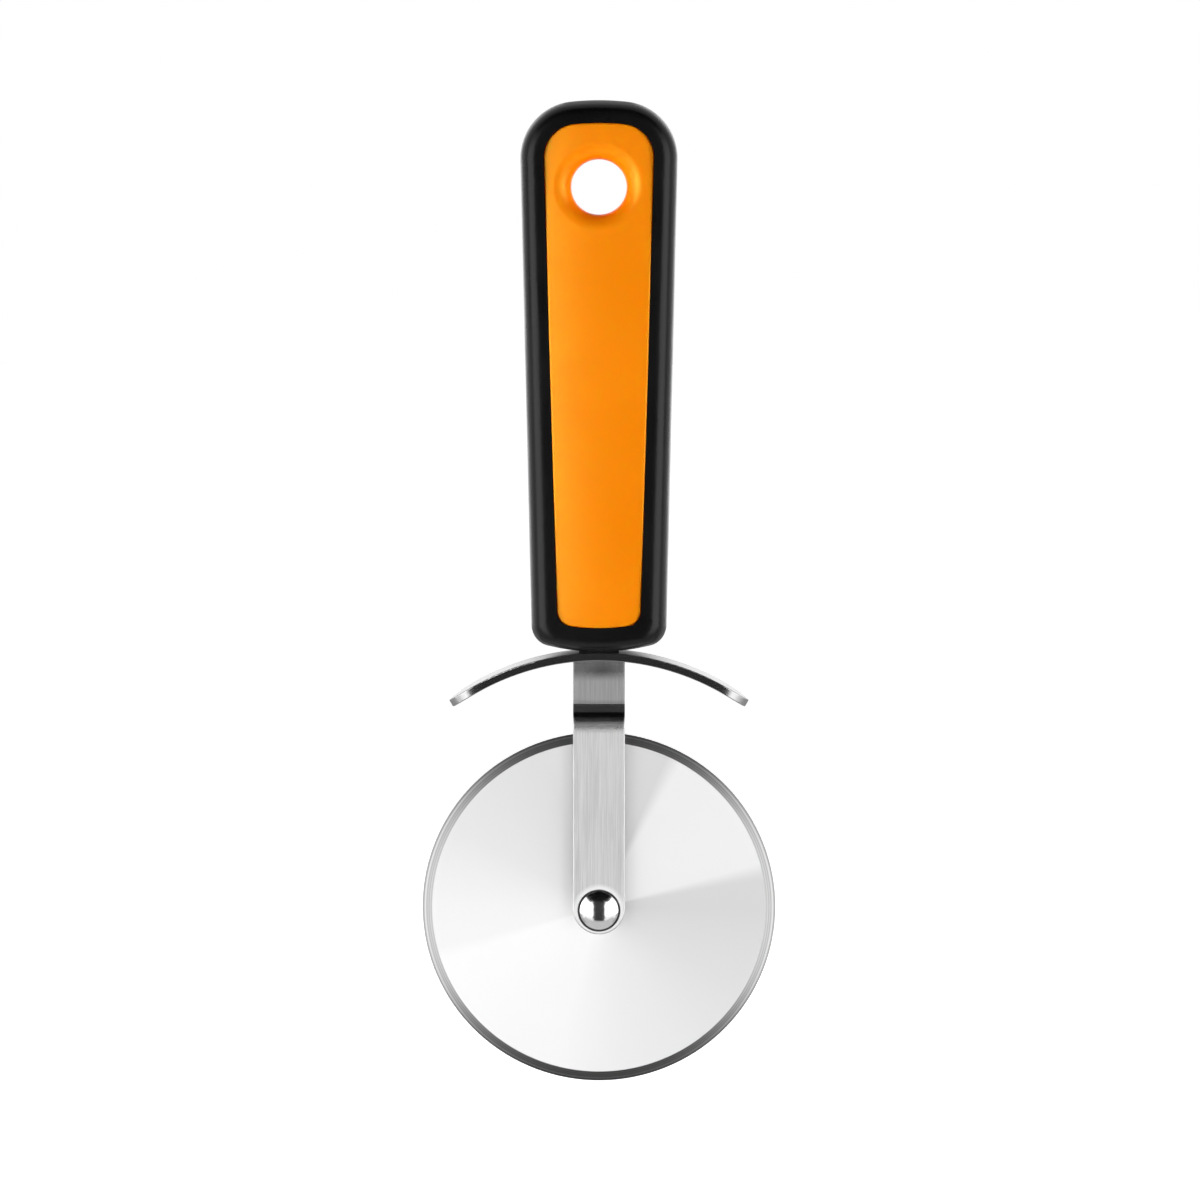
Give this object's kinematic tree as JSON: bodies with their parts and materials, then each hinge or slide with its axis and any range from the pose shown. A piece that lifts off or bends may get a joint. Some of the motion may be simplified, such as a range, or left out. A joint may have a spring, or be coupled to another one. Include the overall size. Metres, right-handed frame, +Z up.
{
  "type": "pizza cutter wheel",
  "caption": "Hand-held pizza cutter: a free-turning steel wheel in a bent-strip fork, arched thumb guard and a two-colour handle with a hanging hole.",
  "frame": {"origin": "centre of the hanging hole near the top of the handle, midway through its thickness", "axes": "+Z up the handle as it hangs, front face towards -Y, +X across the handle to the viewer's right; the wheel turns about Y"},
  "size_m": [0.07, 0.0188, 0.1939],
  "materials": {
    "grip_black": "soft-touch matt black, moulded",
    "core_orange": "satin to gloss moulded orange",
    "fork_steel": "brushed along its length",
    "guard_steel": "fine satin, polished edges",
    "wheel_steel": "turned grain, ground bevel",
    "spacer_plastic": "natural moulded",
    "rivet_steel": "polished dome"
  },
  "bodies": {
    "frame": {"grip_rim": "grip_black", "core_front": "core_orange", "core_rear": "core_orange", "front_leg": "fork_steel", "rear_leg": "fork_steel", "thumb_guard": "guard_steel", "rivet_tube": "rivet_steel", "rivet_pin": "rivet_steel"},
    "wheel": {"cutting_wheel": "wheel_steel", "front_spacer": "spacer_plastic", "rear_spacer": "spacer_plastic"}
  },
  "joints": [
    {"name": "wheel_spin", "type": "hinge", "parent": "frame", "child": "wheel", "pos_m": [0, 0, -0.14215], "axis": [0, 1, 0], "continuous": true}
  ]
}
